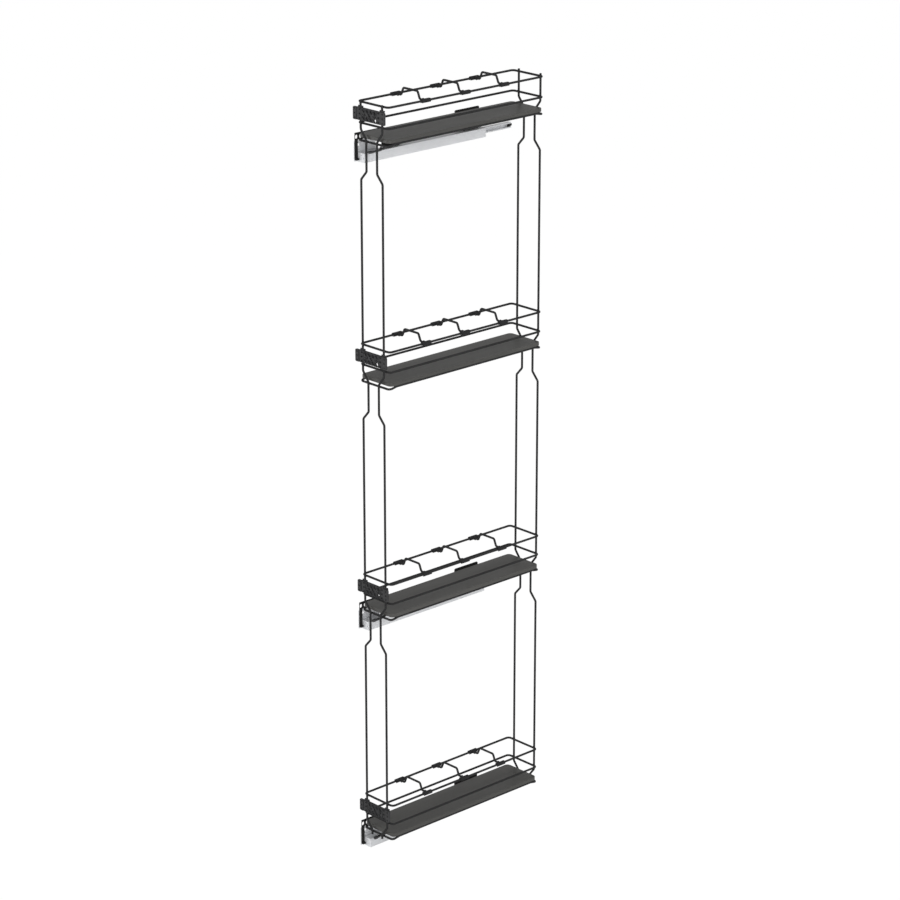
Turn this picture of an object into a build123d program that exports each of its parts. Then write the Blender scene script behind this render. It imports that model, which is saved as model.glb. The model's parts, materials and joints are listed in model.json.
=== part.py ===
# Pull-out bottle rack for a narrow tall cabinet.
#
# Four wire baskets hang on four full-height uprights. Three telescopic runners on the
# left wall of the cabinet carry the rack, and a perforated bracket at the front of each
# basket takes the cabinet's door.
#
# Millimetres. X runs from the cabinet wall to the right, Y from the door to the back,
# Z up. The origin is the middle of the two wall screws of the lowest runner.

import os

from build123d import *

os.makedirs("parts", exist_ok=True)


# Driving dimensions: wire baskets
WIRE = 5.0  # diameter of every wire
BASKET_WIDTH = 100.0  # over the guard rails
WALL_GAP = 10.5  # cabinet wall to the guard rails
UPRIGHT_DEPTH = 470.0  # front uprights to rear uprights
UPRIGHT_SPACING = 68.5  # left upright to right upright
NECK_SPACING = 34.0  # the same, where the uprights draw in past a runner
TIERS = 4
TIER_PITCH = 540.0
RAIL_GAP = 46.0  # upper guard rail to lower guard rail
RAIL_CORNER = 8.0  # bend radius of the guard rails, at the centre of the wire
BUTT_GAP = 0.1  # left by the weld where a wire ends at another wire
UPRIGHT_BEND = 7.0
UPRIGHT_STUB = 4.0  # uprights above the highest guard rail

# Driving dimensions: neck of the uprights, as drops below the upper guard rail
NECK_START = 58.0
NECK_TOP = 80.0
NECK_BOTTOM = 149.0
NECK_END = 168.0
UPRIGHT_END = 90.0  # lower tip, below the lowest basket

# Driving dimensions: shelves and the frames under them
SHELF_DROP = 70.0  # upper guard rail to the top of the shelf
SHELF_THICKNESS = 8.0
SHELF_MARGIN = 0.5  # shelf edge inside the outer line of the guard rails, at the sides
SHELF_END_MARGIN = 3.5  # the same, at the front and the rear
SHELF_EDGE = 1.0  # fillet round the top
PILOT_SPARE = 0.5  # pilot holes beyond the screws' tips
BASE_DIP = 4.0  # front and rear of the base frame, below its sides
BASE_DIP_LENGTH = 20.0
CROSS_WIRES = 3
CROSS_MARGIN = 30.0  # uprights to the first and the last cross wire

# Driving dimensions: bottle dividers
DIVIDERS = 3
DIVIDER_PITCH = 116.5
DIVIDER_SHIFT = -6.0  # middle of the basket to the middle divider
DIVIDER_RISE = 16.5
DIVIDER_FOOT = 18.0  # guard rail to the foot of the raised part
DIVIDER_HEAD = 25.0  # guard rail to the top corner of the raised part
DIVIDER_BEND = 5.0
CLIP_LENGTH = 25.0
CLIP_WALL = 1.5
CLIP_EDGE = 2.2  # rounding of a clip's outline
SOCKET_REACH = 8.5  # guard rail to the rim of the wire's socket
SOCKET_WALL = 1.3
CLIP_PLAY = 0.1  # clearance all round the guard rail
CLIP_SNAP = 3.8  # width of the slot that snaps over the guard rail

# Driving dimensions: runners
RUNNER_TIERS = (1, 2, 4)  # counted from the lowest basket
RUNNER_DROP = 125.0  # upper guard rail to the middle of the runner
RUNNER_LENGTH = 450.0
RUNNER_SETBACK = 20.0  # cabinet's front edge to the runner
RUNNER_TRAVEL = 450.0
DRAWER_RAIL_LENGTH = 360.0
MIDDLE_RAIL_LENGTH = 350.0
DRAWER_RAIL_REACH = 24.5  # cabinet wall to the outer face of the drawer rail
DRAWER_RAIL_LEFT = 3.0  # cabinet wall to the open edge of the drawer rail
DRAWER_RAIL_HEIGHT = 20.5
DRAWER_RAIL_STEEL = 1.25
DRAWER_RAIL_FRONT = 1.5  # thickness of the closed front end
DRAWER_RAIL_CORNER = 1.0
FRONT_HOLE = 2.6
FRONT_HOLES = ((10.0, 5.5), (3.0, -1.0))  # in from the rail's outer face, above its middle
CABINET_RAIL_HEIGHT = 13.0
CABINET_RAIL_REACH = 10.0
CABINET_RAIL_STEEL = 1.5
LIP_RETURN = 1.3  # turned-in edge of the cabinet rail
WALL_TAB_TOP = 36.0  # above the middle of the runner
WALL_TAB_BOTTOM = 9.5  # below it
WALL_TAB_SETBACK = 9.0  # cabinet's front edge to the tab
WALL_TAB_LENGTH = 62.0
WALL_TAB_CORNER = 4.0
MIDDLE_STEEL = 1.2
BALL = 2.6
BALL_PLAY = 0.07  # above and below each ball
BALL_PITCH = 18.0
CAGE_STEEL = 0.6
CAGE_PLAY = 0.1  # cage round a ball
RAIL_PLAY = 0.5  # side clearance between the members of a runner
STOP_DEPTH = 4.5  # each, inside the rail and behind it
STOP_HEIGHT = 5.0
STOP_MARGIN = 1.0  # sides of the part behind the rail, in from the plug
STOP_PLAY = 0.1
CAGE_MARGIN = 6.0  # ends of a cage to the ends of the rails' overlap

# Driving dimensions: screws in the cabinet wall
FIRST_SCREW = 37.0  # behind the cabinet's front edge
SCREW_SPACING = 288.0
SCREW_HOLE = 6.4
TAB_SCREW_PITCH = 32.0
TAB_SCREW_HEIGHT = 26.0

# Driving dimensions: carriers between the runners and the baskets
CARRIER_STEEL = 2.0
CARRIER_PLAY = 1.0  # cabinet rail to carrier
FRONT_CARRIER_LENGTH = 124.0
FRONT_CARRIER_DROP = 1.0  # top of the shelf to the top of the front carrier
REAR_CARRIER_LENGTH = 73.0
REAR_CARRIER_RISE = 2.5  # above the shelf
REAR_CARRIER_END = 2.0  # before the rear end of the drawer rail
REAR_CARRIER_CORNER = 3.0
CARRIER_LEDGE = 12.0  # shelf edge to the edge of the ledge under the base frame
LEDGE_SCREW = 8.0  # shelf edge to the screws in the ledge
CARRIER_FOOT = 8.0  # width of the foot on the drawer rail
FOOT_SCREW = 4.0  # carrier's web to the screws in its foot
LEDGE_LENGTH = 58.0
FOOT_LENGTH = 44.0
FOOT_SHIFT = 4.0  # middle of the ledge to the middle of the foot
CARRIER_LEG = 8.0
LEG_PLAY = 0.5  # leg to the front of the drawer rail
LEG_END = 4.5  # tip of the leg above the underside of the drawer rail
HOOK_LENGTH = 4.5
HOOK_HEIGHT = 4.0
BAND_HEIGHT = 16.0  # of the plate between the leg and the web over the foot
SIGHT_HOLE_WIDTH = 7.5
SIGHT_HOLE_HEIGHT = 9.0
SIGHT_HOLES = 2
SIGHT_HOLE_PITCH = 12.5
SIGHT_HOLE_DROP = 9.0  # top of the carrier to the middle of a sight hole
SCREW_SHANK = 3.2
SCREW_HEAD = 5.5
SCREW_HEAD_HEIGHT = 1.6
SCREW_GRIP = 5.5  # length inside the shelf
SCREW_PITCH = 30.0
THREAD_PLAY = 0.05

# Driving dimensions: release levers
LEVER_THICKNESS = 3.0
LEVER_WIDTH = 5.5
LEVER_PLAY = 0.3
LEVER_PIVOT = 60.0  # front of the drawer rail to the pivot
LEVER_REACH = 16.0  # pivot to the finger pad, sideways
LEVER_ELBOW = 3.0  # elbow to the finger pad, sideways
LEVER_EYE = 1.5  # eye's rim beyond half the lever's width
LEVER_PAD_SETBACK = 12.0  # front of the drawer rail to the middle of the finger pad
LEVER_PAD_LENGTH = 11.0
LEVER_PAD_WIDTH = 7.0
LEVER_PAD_CORNER = 2.5
LEVER_PAD_RISE = 1.5
PIVOT_PIN = 4.0
PIVOT_HEAD = 7.0
PIVOT_HEAD_HEIGHT = 1.0
PIVOT_PLAY = 0.05

# Driving dimensions: door brackets
DOOR_GAP = 1.5  # cabinet's front edge to the door
BRACKET_STEEL = 2.0
DOOR_PLATE = 4.0  # thickness of the door plate's tabs
BRACKET_WIDTH = 100.0
BRACKET_BODY_WIDTH = 80.0
BRACKET_RECESS = 1.5  # depth of the door plate's middle behind its tabs
BRACKET_HEIGHT = 28.0
BRACKET_TOP = 9.0  # below the upper guard rail
BRACKET_CORNER = 3.0
BRACKET_LUGS = (-3.0, 12.0)  # sides of the lugs on the base, from the middle of an upright
BRACKET_LUG_RISE = 3.5
DOOR_HOLE = 4.5
DOOR_HOLE_PITCH = 10.0
DOOR_HOLE_ROWS = 3
DOOR_HOLE_SPACING = 88.0
CLAMP_CHEEK = 3.0
CLAMP_DEPTH = 6.0
CLAMP_PLAY = 0.05
CLAMP_MARGIN = 3.0
BRACKET_SCREW = 4.0
BRACKET_SCREW_HEAD = 7.0
BRACKET_SCREW_HEAD_HEIGHT = 1.4
BRACKET_SCREW_SPACING = 32.0
BRACKET_BOSS = 8.0
BRACKET_BOSS_LENGTH = 4.0
BRACKET_SLOT = 11.0  # adjusting slots round the screws
BRACKET_SLOT_PLAY = 0.4
RIB_SLOT_LENGTH = 9.0  # slanting slots between the ribs
RIB_SLOT_WIDTH = 3.4
RIB_SLOT_PITCH = 12.0
RIB_SLOT_COLUMNS = 4
RIB_SLOT_SLANT = -50.0
RIB_SLOT_ROW = 8.0  # above and below the middle of the bracket
PEG_HOLE = 3.6
PEG_HOLE_SPACING = 60.0
ACCESS_HOLE = 8.5  # through plate and base, in place of the last rib slot
RECESS_WIDTH = 0.9
RECESS_DEPTH = 0.9


# Places along Y
cabinet_front = -(FIRST_SCREW + SCREW_SPACING / 2)
door_face = cabinet_front - DOOR_GAP
body_face = door_face + BRACKET_RECESS
base_face = door_face + DOOR_PLATE
front = base_face + BRACKET_STEEL + WIRE / 2  # front uprights
rear = front + UPRIGHT_DEPTH  # rear uprights
middle_y = (front + rear) / 2
rail_front = front + WIRE
rail_rear = rear - WIRE
runner_front = cabinet_front + RUNNER_SETBACK
runner_rear = runner_front + RUNNER_LENGTH
drawer_front = runner_front - RAIL_PLAY - DRAWER_RAIL_FRONT
drawer_rear = drawer_front + DRAWER_RAIL_LENGTH
middle_front = runner_front + RAIL_PLAY
middle_rear = middle_front + MIDDLE_RAIL_LENGTH
lever_pivot_y = drawer_front + LEVER_PIVOT

# Places along X
centre = WALL_GAP + BASKET_WIDTH / 2
rail_left = WALL_GAP + WIRE / 2
rail_right = rail_left + BASKET_WIDTH - WIRE
shelf_left = WALL_GAP + SHELF_MARGIN
carrier_left = CABINET_RAIL_STEEL + CARRIER_PLAY
carrier_web = (carrier_left, carrier_left + CARRIER_STEEL)
ledge_screw_x = shelf_left + LEDGE_SCREW
foot_screw_x = carrier_web[1] + FOOT_SCREW
lever_pivot_x = (DRAWER_RAIL_LEFT + DRAWER_RAIL_REACH) / 2
upright_xs = (centre - UPRIGHT_SPACING / 2, centre + UPRIGHT_SPACING / 2)

# Heights inside a runner, from its middle
cabinet_inner = CABINET_RAIL_HEIGHT / 2 - CABINET_RAIL_STEEL
drawer_top = DRAWER_RAIL_HEIGHT / 2
drawer_inner = drawer_top - DRAWER_RAIL_STEEL
middle_low = cabinet_inner - BALL - 2 * BALL_PLAY
middle_high = drawer_inner - BALL - 2 * BALL_PLAY

# Heights of a basket's parts, below its upper guard rail
shelf_bottom = SHELF_DROP + SHELF_THICKNESS
base_frame_drop = shelf_bottom + WIRE / 2
ledge_top = shelf_bottom + WIRE
bracket_middle = BRACKET_TOP + BRACKET_HEIGHT / 2


def basket_z(tier):
    """Height of a basket's upper guard rail; the lowest tier is 1."""
    return RUNNER_DROP + (tier - 1) * TIER_PITCH


def runner_z(tier):
    """Height of the middle of the runner under a basket."""
    return basket_z(tier) - RUNNER_DROP


def save(builder, name):
    """Label a finished piece and write it."""
    builder.part.label = name
    export_step(builder.part, f"parts/{name}.step")


def block(x, y, z, mode=Mode.ADD):
    """Box between two limits along each axis."""
    with Locations(((x[0] + x[1]) / 2, (y[0] + y[1]) / 2, (z[0] + z[1]) / 2)):
        Box(x[1] - x[0], y[1] - y[0], z[1] - z[0], mode=mode)


def wire(points, bend, close=False):
    """Round wire whose centre line runs through the points."""
    with BuildLine() as path:
        FilletPolyline(*points, radius=bend, close=close)
    with BuildSketch(Plane(origin=path.line @ 0, z_dir=path.line % 0)) as section:
        Circle(WIRE / 2)
    sweep(section.sketch, path=path.line)


def ring(z):
    """Ring round the basket, of a front and a rear U of wire butted at the middle of the sides."""
    for end, butt in ((rail_front, middle_y - BUTT_GAP / 2), (rail_rear, middle_y + BUTT_GAP / 2)):
        corners = [(rail_left, butt, z), (rail_left, end, z), (rail_right, end, z), (rail_right, butt, z)]
        wire(corners, RAIL_CORNER)


def rod(start, direction, length, radius, mode=Mode.ADD):
    """Round bar from a point along a direction."""
    with BuildSketch(Plane(origin=start, z_dir=direction)) as section:
        Circle(radius)
    extrude(section.sketch, amount=length, mode=mode)


def carrier_spans():
    """Limits along Y of the ledge and the foot of the front and the rear carrier."""
    front_end = drawer_front - LEG_PLAY - CARRIER_LEG + FRONT_CARRIER_LENGTH
    rear_end = drawer_rear - REAR_CARRIER_END
    middles = (front_end - LEDGE_LENGTH / 2, rear_end - REAR_CARRIER_LENGTH / 2)
    return [
        ((middle - LEDGE_LENGTH / 2, middle + LEDGE_LENGTH / 2),
         (middle + FOOT_SHIFT - FOOT_LENGTH / 2, middle + FOOT_SHIFT + FOOT_LENGTH / 2))
        for middle in middles
    ]


def screw_ys(span):
    """Places along Y of the two screws in a ledge or a foot."""
    middle = sum(span) / 2
    return (middle - SCREW_PITCH / 2, middle + SCREW_PITCH / 2)


# Uprights, one wire each over the full height, drawn in to a neck under every basket
def upright_points(x, y):
    """Centre line of an upright, from its top end down."""
    side = 1 if x > centre else -1
    neck_x = centre + side * NECK_SPACING / 2
    points = [(x, y, basket_z(TIERS) + UPRIGHT_STUB)]
    for tier in range(TIERS, 0, -1):
        z = basket_z(tier)
        points += [(x, y, z - NECK_START), (neck_x, y, z - NECK_TOP)]
        if tier > 1:
            points += [(neck_x, y, z - NECK_BOTTOM), (x, y, z - NECK_END)]
    return points + [(neck_x, y, basket_z(1) - UPRIGHT_END)]


for end_name, y in (("front", front), ("rear", rear)):
    for side_name, x in zip(("left", "right"), upright_xs):
        with BuildPart() as upright:
            wire(upright_points(x, y), UPRIGHT_BEND)
        save(upright, f"upright_{end_name}_{side_name}")


# Guard rails, an upper and a lower ring on each basket
for tier in range(1, TIERS + 1):
    with BuildPart() as guard_rails:
        ring(basket_z(tier))
        ring(basket_z(tier) - RAIL_GAP)
    save(guard_rails, f"guard_rails_{tier}")


# Base frames, a ring with cross wires between its sides, which hold the shelf up
def base_frame_points(z):
    """Centre line of a base frame's ring, which dips at the front and the rear."""
    side = [(rail_front, z - BASE_DIP), (rail_front + BASE_DIP_LENGTH, z),
            (rail_rear - BASE_DIP_LENGTH, z), (rail_rear, z - BASE_DIP)]
    right = [(rail_right, y, height) for y, height in side]
    left = [(rail_left, y, height) for y, height in reversed(side)]
    return right + left


for tier in range(1, TIERS + 1):
    with BuildPart() as base_frame:
        z = basket_z(tier) - base_frame_drop
        wire(base_frame_points(z), RAIL_CORNER, close=True)
        for index in range(CROSS_WIRES):
            step = (UPRIGHT_DEPTH - 2 * CROSS_MARGIN) / (CROSS_WIRES - 1)
            start = (rail_left + WIRE / 2 + BUTT_GAP, front + CROSS_MARGIN + index * step, z)
            rod(start, (1, 0, 0), BASKET_WIDTH - 2 * WIRE - 2 * BUTT_GAP, WIRE / 2)
    save(base_frame, f"base_frame_{tier}")


# Shelves, with pilot holes for the screws in the carriers' ledges
for tier in range(1, TIERS + 1):
    with BuildPart() as shelf:
        shelf_z = basket_z(tier) - shelf_bottom
        shelf_width = BASKET_WIDTH - 2 * SHELF_MARGIN
        shelf_depth = UPRIGHT_DEPTH - WIRE - 2 * SHELF_END_MARGIN
        with BuildSketch(Plane((centre, middle_y, shelf_z))):
            RectangleRounded(shelf_width, shelf_depth, RAIL_CORNER + WIRE / 2 - SHELF_MARGIN)
        extrude(amount=SHELF_THICKNESS)
        fillet(shelf.faces().sort_by(Axis.Z)[-1].edges(), radius=SHELF_EDGE)
        if tier in RUNNER_TIERS:
            for ledge, _ in carrier_spans():
                for y in screw_ys(ledge):
                    rod((ledge_screw_x, y, shelf_z), (0, 0, 1), SCREW_GRIP + PILOT_SPARE,
                        SCREW_SHANK / 2 + THREAD_PLAY, Mode.SUBTRACT)
    save(shelf, f"shelf_{tier}")


# Bottle dividers, a raised wire that snaps on to the upper guard rails with a clip at each end
def clip(rail_x, inwards, wire_y, z):
    """Clip round a guard rail, with a socket for the end of the raised wire."""
    bore = WIRE / 2 + CLIP_PLAY
    outer = bore + CLIP_WALL
    clip_end = Plane((rail_x, wire_y - CLIP_LENGTH / 2, z), x_dir=(1, 0, 0), z_dir=(0, 1, 0))
    with BuildSketch(clip_end) as section:
        RectangleRounded(2 * outer, 2 * outer, CLIP_EDGE)
        Circle(bore, mode=Mode.SUBTRACT)
        with Locations((0, outer)):
            Rectangle(CLIP_SNAP, 2 * outer, mode=Mode.SUBTRACT)
    extrude(section.sketch, amount=CLIP_LENGTH)
    middle_wall = bore + CLIP_WALL / 2
    socket = (rail_x + inwards * middle_wall, wire_y, z)
    rod(socket, (inwards, 0, 0), SOCKET_REACH - middle_wall, WIRE / 2 + SOCKET_WALL)
    seat = (rail_x + inwards * outer, wire_y, z)
    rod(seat, (inwards, 0, 0), SOCKET_REACH, WIRE / 2 + THREAD_PLAY, Mode.SUBTRACT)


def divider_wire(y, z):
    """Raised wire from socket to socket."""
    end = WIRE / 2 + CLIP_PLAY + CLIP_WALL + THREAD_PLAY
    half = [(rail_left + end, y, z), (rail_left + DIVIDER_FOOT, y, z),
            (rail_left + DIVIDER_HEAD, y, z + DIVIDER_RISE)]
    other_half = [(2 * centre - x, y, height) for x, y, height in reversed(half)]
    wire(half + other_half, DIVIDER_BEND)


for tier in range(1, TIERS + 1):
    for index in range(DIVIDERS):
        divider_y = middle_y + DIVIDER_SHIFT + (index - (DIVIDERS - 1) / 2) * DIVIDER_PITCH
        with BuildPart() as divider:
            clip(rail_left, 1, divider_y, basket_z(tier))
            clip(rail_right, -1, divider_y, basket_z(tier))
            divider_wire(divider_y, basket_z(tier))
        save(divider, f"divider_{tier}_{'abc'[index]}")


# Cabinet rails, channels that open away from the wall, with a tall screw tab at the front
for tier in RUNNER_TIERS:
    z = runner_z(tier)
    with BuildPart() as cabinet_rail:
        length = (runner_front, runner_rear)
        half = CABINET_RAIL_HEIGHT / 2
        back, reach = CABINET_RAIL_STEEL, CABINET_RAIL_REACH
        block((0, reach), length, (z - half, z + half))
        block((back, reach), length, (z - cabinet_inner, z + cabinet_inner), Mode.SUBTRACT)
        lip = cabinet_inner - LIP_RETURN
        for heights in ((z + lip, z + cabinet_inner), (z - cabinet_inner, z - lip)):
            block((reach - back, reach), length, heights)
        tab_front = cabinet_front + WALL_TAB_SETBACK
        tab = (tab_front, tab_front + WALL_TAB_LENGTH)
        block((0, back), tab, (z - WALL_TAB_BOTTOM, z + WALL_TAB_TOP))
        first_screw = -SCREW_SPACING / 2
        holes = [(first_screw, 0), (SCREW_SPACING / 2, 0)]
        holes += [(first_screw + side * TAB_SCREW_PITCH / 2, TAB_SCREW_HEIGHT) for side in (-1, 1)]
        for y, height in holes:
            rod((0, y, z + height), (1, 0, 0), back, SCREW_HOLE / 2, Mode.SUBTRACT)
        tab_corners = cabinet_rail.edges().filter_by(Axis.X).group_by(Axis.Z)[-1]
        fillet(tab_corners, radius=WALL_TAB_CORNER)
    save(cabinet_rail, f"cabinet_rail_{tier}")


# Rail stops, plugs in the rear ends of the cabinet rails
with BuildPart() as rail_stops:
    for tier in RUNNER_TIERS:
        z = runner_z(tier)
        plug = (CABINET_RAIL_STEEL + STOP_PLAY, CABINET_RAIL_REACH - CABINET_RAIL_STEEL - STOP_PLAY)
        reach = cabinet_inner - STOP_PLAY
        block(plug, (runner_rear - STOP_DEPTH, runner_rear), (z - reach, z + reach))
        block((plug[0] + STOP_MARGIN, plug[1] - STOP_MARGIN), (runner_rear, runner_rear + STOP_DEPTH),
              (z - STOP_HEIGHT / 2, z + STOP_HEIGHT / 2))
    fillet(rail_stops.edges().filter_by(Axis.X).group_by(Axis.Y)[-1], radius=STOP_MARGIN)
save(rail_stops, "rail_stops")


# Middle rails, hollow steel bars that run on balls in the cabinet rail and carry the drawer rail
def middle_profile(shrink):
    """Stepped outline, low inside the cabinet rail and high inside the drawer rail."""
    left = CABINET_RAIL_STEEL + CAGE_STEEL + 2 * RAIL_PLAY + shrink
    step = CABINET_RAIL_REACH + RAIL_PLAY + shrink
    right = DRAWER_RAIL_REACH - DRAWER_RAIL_STEEL - CAGE_STEEL - 2 * RAIL_PLAY - shrink
    low, high = middle_low - shrink, middle_high - shrink
    Polyline((left, -low), (step, -low), (step, -high), (right, -high),
             (right, high), (step, high), (step, low), (left, low), close=True)


for tier in RUNNER_TIERS:
    with BuildPart() as middle_rail:
        with BuildSketch(Plane((0, middle_rear, runner_z(tier)), x_dir=(1, 0, 0), z_dir=(0, -1, 0))):
            with BuildLine():
                middle_profile(0)
            make_face()
            with BuildLine():
                middle_profile(MIDDLE_STEEL)
            make_face(mode=Mode.SUBTRACT)
        extrude(amount=MIDDLE_RAIL_LENGTH)
    save(middle_rail, f"middle_rail_{tier}")


# Ball cages, bent strips between the rails, each with a row of balls above and below
def cage(side_x, strip_end, strip_height, ball_x, start, end, z):
    """Strip at one side of a middle rail, its two legs, and the balls in the legs."""
    inner = strip_height - CAGE_STEEL / 2
    outer = strip_height + CAGE_STEEL / 2
    block((side_x, side_x + CAGE_STEEL), (start, end), (z - outer, z + outer))
    legs = (min(side_x, strip_end), max(side_x + CAGE_STEEL, strip_end))
    for low, high in ((z + inner, z + outer), (z - outer, z - inner)):
        block(legs, (start, end), (low, high))
    count = int((end - start - BALL_PITCH / 2) // BALL_PITCH) + 1
    first = (start + end) / 2 - (count - 1) * BALL_PITCH / 2
    places = [(ball_x, first + index * BALL_PITCH, z + side * strip_height)
              for index in range(count) for side in (-1, 1)]
    with Locations(*places):
        Cylinder(BALL / 2 + CAGE_PLAY, BALL, mode=Mode.SUBTRACT)
        Sphere(BALL / 2)


outer_overlap = runner_front, middle_rear - RUNNER_TRAVEL / 2
outer_cage_length = outer_overlap[1] - outer_overlap[0] - 2 * CAGE_MARGIN
outer_cage_start = outer_overlap[0] + CAGE_MARGIN + RUNNER_TRAVEL / 4
inner_overlap = middle_front - RUNNER_TRAVEL / 2, drawer_rear - RUNNER_TRAVEL
inner_cage_length = inner_overlap[1] - inner_overlap[0] - 2 * CAGE_MARGIN
inner_cage_start = inner_overlap[0] + CAGE_MARGIN + RUNNER_TRAVEL * 3 / 4

with BuildPart() as outer_ball_cages:
    for tier in RUNNER_TIERS:
        cage(CABINET_RAIL_STEEL + RAIL_PLAY, CABINET_RAIL_REACH - CABINET_RAIL_STEEL - RAIL_PLAY,
             cabinet_inner - BALL / 2 - BALL_PLAY, (CABINET_RAIL_REACH + CABINET_RAIL_STEEL) / 2,
             outer_cage_start, outer_cage_start + outer_cage_length, runner_z(tier))
save(outer_ball_cages, "outer_ball_cages")

with BuildPart() as inner_ball_cages:
    for tier in RUNNER_TIERS:
        side = DRAWER_RAIL_REACH - DRAWER_RAIL_STEEL - RAIL_PLAY - CAGE_STEEL
        cage(side, CABINET_RAIL_REACH + 2 * RAIL_PLAY, drawer_inner - BALL / 2 - BALL_PLAY,
             (CABINET_RAIL_REACH + side) / 2, inner_cage_start, inner_cage_start + inner_cage_length,
             runner_z(tier))
save(inner_ball_cages, "inner_ball_cages")


# Drawer rails, channels over the middle rails, closed at the front, with the lever's pivot on top
pin_height = LEVER_THICKNESS + 2 * LEVER_PLAY

for tier in RUNNER_TIERS:
    z = runner_z(tier)
    with BuildPart() as drawer_rail:
        width = (DRAWER_RAIL_LEFT, DRAWER_RAIL_REACH)
        block(width, (drawer_front, drawer_rear), (z - drawer_top, z + drawer_top))
        front_corners = drawer_rail.edges().filter_by(Axis.Z).group_by(Axis.Y)[0]
        fillet(front_corners, radius=DRAWER_RAIL_CORNER)
        hollow = (DRAWER_RAIL_LEFT, DRAWER_RAIL_REACH - DRAWER_RAIL_STEEL)
        block(hollow, (drawer_front + DRAWER_RAIL_FRONT, drawer_rear),
              (z - drawer_inner, z + drawer_inner), Mode.SUBTRACT)
        for inset, height in FRONT_HOLES:
            rod((DRAWER_RAIL_REACH - inset, drawer_front, z + height), (0, 1, 0), DRAWER_RAIL_FRONT,
                FRONT_HOLE / 2, Mode.SUBTRACT)
        for _, foot in carrier_spans():
            for y in screw_ys(foot):
                rod((foot_screw_x, y, z + drawer_inner), (0, 0, 1), DRAWER_RAIL_STEEL,
                    SCREW_SHANK / 2 + THREAD_PLAY, Mode.SUBTRACT)
        pivot = (lever_pivot_x, lever_pivot_y, z + drawer_top)
        rod(pivot, (0, 0, 1), pin_height, PIVOT_PIN / 2)
        rod((pivot[0], pivot[1], pivot[2] + pin_height), (0, 0, 1), PIVOT_HEAD_HEIGHT, PIVOT_HEAD / 2)
    save(drawer_rail, f"drawer_rail_{tier}")


# Carriers, bent plates that stand on a drawer rail and hold the shelf's left edge
def carrier_flanges(z, shelf_z, ledge, foot):
    """Ledge under the base frame and foot on the drawer rail, with their screw holes."""
    foot_z = z + drawer_top
    ledge_z = shelf_z - WIRE - CARRIER_STEEL
    block((carrier_left, shelf_left + CARRIER_LEDGE), ledge, (ledge_z, ledge_z + CARRIER_STEEL))
    block((carrier_left, carrier_web[1] + CARRIER_FOOT), foot, (foot_z, foot_z + CARRIER_STEEL))
    holes = [(ledge_screw_x, y, ledge_z) for y in screw_ys(ledge)]
    holes += [(foot_screw_x, y, foot_z) for y in screw_ys(foot)]
    for hole in holes:
        rod(hole, (0, 0, 1), CARRIER_STEEL, SCREW_SHANK / 2 + THREAD_PLAY, Mode.SUBTRACT)


for tier in RUNNER_TIERS:
    z = runner_z(tier)
    shelf_z = basket_z(tier) - shelf_bottom
    (front_ledge, front_foot), (rear_ledge, rear_foot) = carrier_spans()

    with BuildPart() as front_carrier:
        leg = (drawer_front - LEG_PLAY - CARRIER_LEG, drawer_front - LEG_PLAY)
        web_top = shelf_z + SHELF_THICKNESS - FRONT_CARRIER_DROP
        leg_bottom = z - drawer_top + LEG_END
        block(carrier_web, leg, (leg_bottom, web_top))
        block(carrier_web, (leg[0], front_foot[0]), (web_top - BAND_HEIGHT, web_top))
        block(carrier_web, (front_foot[0], front_ledge[1]), (z + drawer_top, shelf_z))
        block((carrier_left, carrier_web[1] + HOOK_LENGTH), leg, (leg_bottom, leg_bottom + HOOK_HEIGHT))
        carrier_flanges(z, shelf_z, front_ledge, front_foot)
        for index in range(SIGHT_HOLES):
            hole = (carrier_left, sum(leg) / 2 + index * SIGHT_HOLE_PITCH, web_top - SIGHT_HOLE_DROP)
            with BuildSketch(Plane(hole, x_dir=(0, 1, 0), z_dir=(1, 0, 0))) as sight_hole:
                SlotOverall(SIGHT_HOLE_HEIGHT, SIGHT_HOLE_WIDTH, rotation=90)
            extrude(sight_hole.sketch, amount=CARRIER_STEEL, mode=Mode.SUBTRACT)
    save(front_carrier, f"front_carrier_{tier}")

    with BuildPart() as rear_carrier:
        rear_end = drawer_rear - REAR_CARRIER_END
        block(carrier_web, (rear_end - REAR_CARRIER_LENGTH, rear_end),
              (z + drawer_top, shelf_z + SHELF_THICKNESS + REAR_CARRIER_RISE))
        fillet(rear_carrier.edges().filter_by(Axis.X).group_by(Axis.Z)[-1], radius=REAR_CARRIER_CORNER)
        carrier_flanges(z, shelf_z, rear_ledge, rear_foot)
    save(rear_carrier, f"rear_carrier_{tier}")


# Carrier screws, up into the shelves and down into the drawer rails
def pan_screw(seat, direction, shank, head, head_height, length):
    """Pan-head screw; the seat is where the head meets the plate, the shank runs along direction."""
    rod(seat, direction, length, shank / 2)
    start = tuple(s - d * head_height for s, d in zip(seat, direction))
    rod(start, direction, head_height, head / 2)


with BuildPart() as carrier_screws:
    for tier in RUNNER_TIERS:
        for ledge, foot in carrier_spans():
            for y in screw_ys(ledge):
                seat = (ledge_screw_x, y, basket_z(tier) - ledge_top - CARRIER_STEEL)
                pan_screw(seat, (0, 0, 1), SCREW_SHANK, SCREW_HEAD, SCREW_HEAD_HEIGHT,
                          CARRIER_STEEL + WIRE + SCREW_GRIP)
            for y in screw_ys(foot):
                seat = (foot_screw_x, y, runner_z(tier) + drawer_top + CARRIER_STEEL)
                pan_screw(seat, (0, 0, -1), SCREW_SHANK, SCREW_HEAD, SCREW_HEAD_HEIGHT,
                          CARRIER_STEEL + DRAWER_RAIL_STEEL)
save(carrier_screws, "carrier_screws")


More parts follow.
